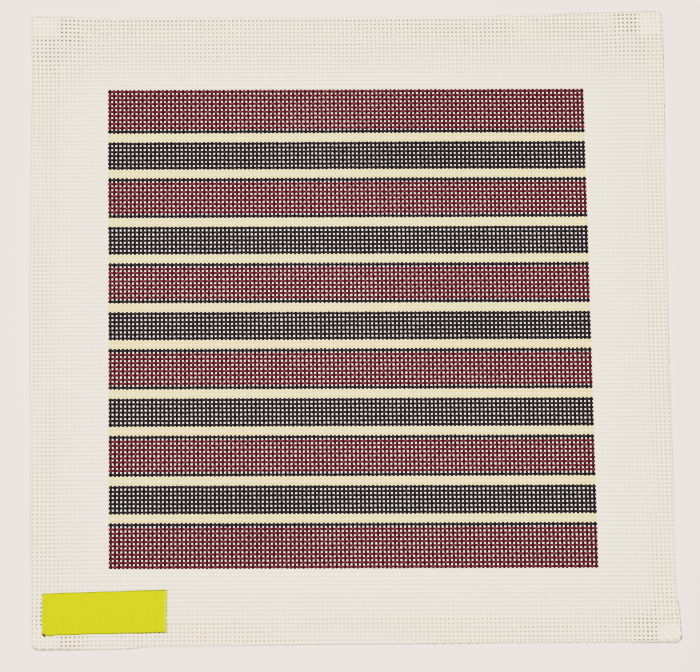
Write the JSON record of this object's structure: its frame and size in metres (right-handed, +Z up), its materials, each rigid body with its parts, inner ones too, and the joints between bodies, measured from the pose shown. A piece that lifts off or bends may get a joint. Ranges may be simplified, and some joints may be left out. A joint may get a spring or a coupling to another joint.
{
  "type": "needlepoint canvas panel",
  "caption": "Square of stiff open-mesh canvas painted with crosswise stripes, its edges folded under and a small woven label sewn on, ready to be stitched.",
  "frame": {"origin": "middle of the underside, on the surface that the panel lies on", "axes": "+X to the right and +Y towards the top edge as the stripes are seen, +Z up out of the painted face"},
  "size_m": [0.3056, 0.3022, 0.0055],
  "materials": {
    "canvas": "sized cotton mono canvas, matt, painted in stripes",
    "label": "fine woven tape with a soft sheen"
  },
  "bodies": {
    "root": {"canvas": "canvas", "label": "label"}
  },
  "joints": []
}
